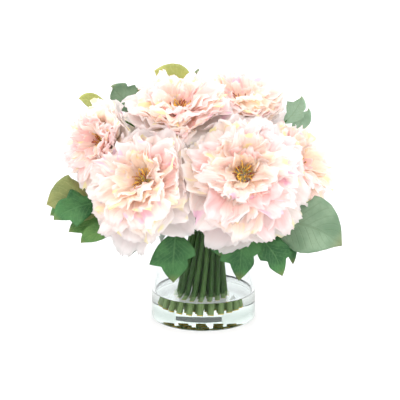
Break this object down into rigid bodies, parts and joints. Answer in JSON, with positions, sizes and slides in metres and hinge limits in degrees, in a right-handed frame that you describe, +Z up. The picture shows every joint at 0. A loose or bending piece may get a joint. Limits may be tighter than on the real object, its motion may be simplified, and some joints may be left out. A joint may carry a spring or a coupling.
{
  "type": "flower arrangement in a vase",
  "caption": "Full, low bunch of blush cloth peonies with green leaves, its bound stems standing in clear resin in a straight glass cylinder vase.",
  "frame": {"origin": "centre of the vase's flat underside", "axes": "+Z up along the axis of the vase, -Y towards the front of the arrangement, X across its width"},
  "size_m": [0.3504, 0.2955, 0.3001],
  "materials": {
    "glass": "clear, polished, faint green tint at the edges",
    "clear_resin": "clear cast resin, glossy",
    "blush_petal": "thin matt cloth, blush to near white, with soft pink and yellow streaks",
    "gold_stamen": "fine threads with darker tips",
    "stem_green": "moulded, satin",
    "deep_green": "printed cloth leaf, satin, with veins",
    "light_green": "printed cloth leaf, satin, with veins",
    "grey_green": "printed cloth leaf, matt, with fine veins",
    "olive": "printed cloth leaf, matt, olive to mustard",
    "binding_green": "stretch tape, matt"
  },
  "bodies": {
    "root": {"binding": "binding_green", "cut_stem_01": "stem_green", "cut_stem_02": "stem_green", "cut_stem_03": "stem_green", "cut_stem_04": "stem_green", "cut_stem_05": "stem_green", "cut_stem_06": "stem_green", "cut_stem_07": "stem_green", "cut_stem_08": "stem_green", "cut_stem_09": "stem_green", "cut_stem_10": "stem_green", "cut_stem_11": "stem_green", "cut_stem_12": "stem_green", "cut_stem_13": "stem_green", "cut_stem_14": "stem_green", "cut_stem_15": "stem_green", "cut_stem_16": "stem_green", "leafy_stem_back": "grey_green", "leafy_stem_back_left": "grey_green", "leafy_stem_back_right": "deep_green", "leafy_stem_front_left": "deep_green", "leafy_stem_front_right": "deep_green", "leafy_stem_left": "deep_green", "leafy_stem_left_broad": "olive", "leafy_stem_left_low": "light_green", "leafy_stem_right_broad": "grey_green", "leafy_stem_right_low": "deep_green", "leafy_stem_top": "olive", "leafy_stem_top_left": "grey_green", "leafy_stem_top_right": "grey_green", "petals_back_left": "blush_petal", "petals_back_right": "blush_petal", "petals_front_left": "blush_petal", "petals_front_right": "blush_petal", "petals_left": "blush_petal", "petals_right": "blush_petal", "petals_top_left": "blush_petal", "petals_top_right": "blush_petal", "resin_water": "clear_resin", "stamens_back_left": "gold_stamen", "stamens_back_right": "gold_stamen", "stamens_front_left": "gold_stamen", "stamens_front_right": "gold_stamen", "stamens_left": "gold_stamen", "stamens_right": "gold_stamen", "stamens_top_left": "gold_stamen", "stamens_top_right": "gold_stamen", "stem_back_left": "stem_green", "stem_back_right": "stem_green", "stem_front_left": "stem_green", "stem_front_right": "stem_green", "stem_left": "stem_green", "stem_right": "stem_green", "stem_top_left": "stem_green", "stem_top_right": "stem_green", "vase": "glass"}
  },
  "joints": []
}
